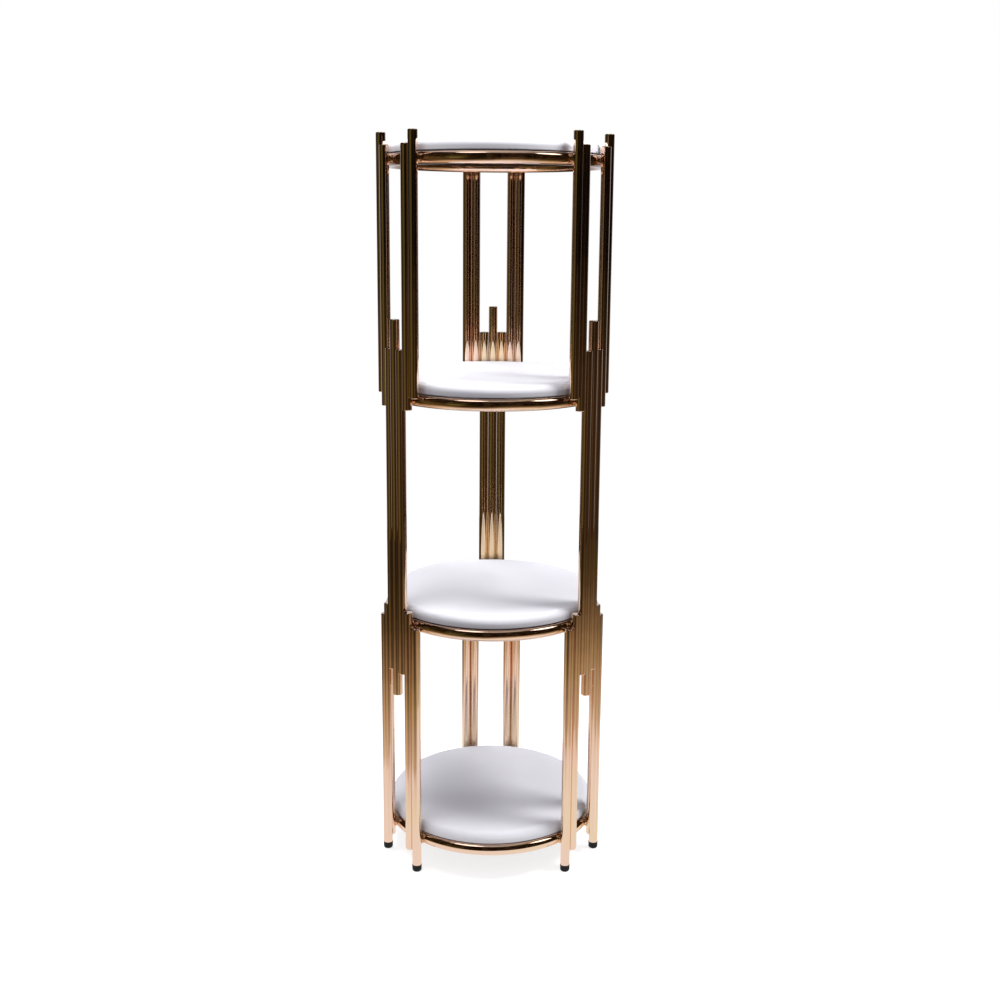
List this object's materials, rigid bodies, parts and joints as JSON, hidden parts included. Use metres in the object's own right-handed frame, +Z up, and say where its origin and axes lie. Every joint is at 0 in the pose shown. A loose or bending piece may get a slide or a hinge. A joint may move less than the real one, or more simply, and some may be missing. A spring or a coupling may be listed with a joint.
{
  "type": "tiered cake stand",
  "caption": "Tall round tiered display stand: white shelves on gold hoops, held by three columns of staggered side-by-side tubes on rubber feet.",
  "frame": {"origin": "on the floor, at the middle of the bounding box's bottom face", "axes": "+Z up; the open front, between the two front columns, faces -Y; +X to the right as seen from the front; the hoops' common axis is 6.75 mm in front of the origin, towards -Y"},
  "size_m": [0.3236, 0.331, 1.0485],
  "materials": {
    "gold_plated": "polished",
    "shelf_white": "satin",
    "rubber_black": "matte"
  },
  "bodies": {
    "stand_frame": {"hoop_bottom": "gold_plated", "hoop_lower": "gold_plated", "hoop_upper": "gold_plated", "hoop_top": "gold_plated", "front_left_upper_outer_left": "gold_plated", "front_left_upper_outer_right": "gold_plated", "front_left_upper_inner_left": "gold_plated", "front_left_upper_inner_right": "gold_plated", "front_left_middle_side_left": "gold_plated", "front_left_middle_side_right": "gold_plated", "front_left_middle_centre": "gold_plated", "front_left_lower_inner_left": "gold_plated", "front_left_lower_inner_right": "gold_plated", "front_left_leg_left": "gold_plated", "front_left_leg_right": "gold_plated", "front_left_foot_left": "rubber_black", "front_left_foot_right": "rubber_black", "front_right_upper_outer_left": "gold_plated", "front_right_upper_outer_right": "gold_plated", "front_right_upper_inner_left": "gold_plated", "front_right_upper_inner_right": "gold_plated", "front_right_middle_side_left": "gold_plated", "front_right_middle_side_right": "gold_plated", "front_right_middle_centre": "gold_plated", "front_right_lower_inner_left": "gold_plated", "front_right_lower_inner_right": "gold_plated", "front_right_leg_left": "gold_plated", "front_right_leg_right": "gold_plated", "front_right_foot_left": "rubber_black", "front_right_foot_right": "rubber_black", "rear_upper_outer_left": "gold_plated", "rear_upper_outer_right": "gold_plated", "rear_upper_inner_left": "gold_plated", "rear_upper_inner_right": "gold_plated", "rear_middle_side_left": "gold_plated", "rear_middle_side_right": "gold_plated", "rear_middle_centre": "gold_plated", "rear_lower_inner_left": "gold_plated", "rear_lower_inner_right": "gold_plated", "rear_leg_left": "gold_plated", "rear_leg_right": "gold_plated", "rear_foot_left": "rubber_black", "rear_foot_right": "rubber_black"},
    "bottom_shelf": {"shelf_bottom": "shelf_white"},
    "lower_shelf": {"shelf_lower": "shelf_white"},
    "upper_shelf": {"shelf_upper": "shelf_white"},
    "top_shelf": {"shelf_top": "shelf_white"}
  },
  "joints": [
    {"name": "bottom_shelf_lift", "type": "slide", "parent": "stand_frame", "child": "bottom_shelf", "axis": [0, 0, 1], "range_m": [0, 0.15]},
    {"name": "lower_shelf_lift", "type": "slide", "parent": "stand_frame", "child": "lower_shelf", "axis": [0, 0, 1], "range_m": [0, 0.15]},
    {"name": "upper_shelf_lift", "type": "slide", "parent": "stand_frame", "child": "upper_shelf", "axis": [0, 0, 1], "range_m": [0, 0.15]},
    {"name": "top_shelf_lift", "type": "slide", "parent": "stand_frame", "child": "top_shelf", "axis": [0, 0, 1], "range_m": [0, 0.15]}
  ]
}
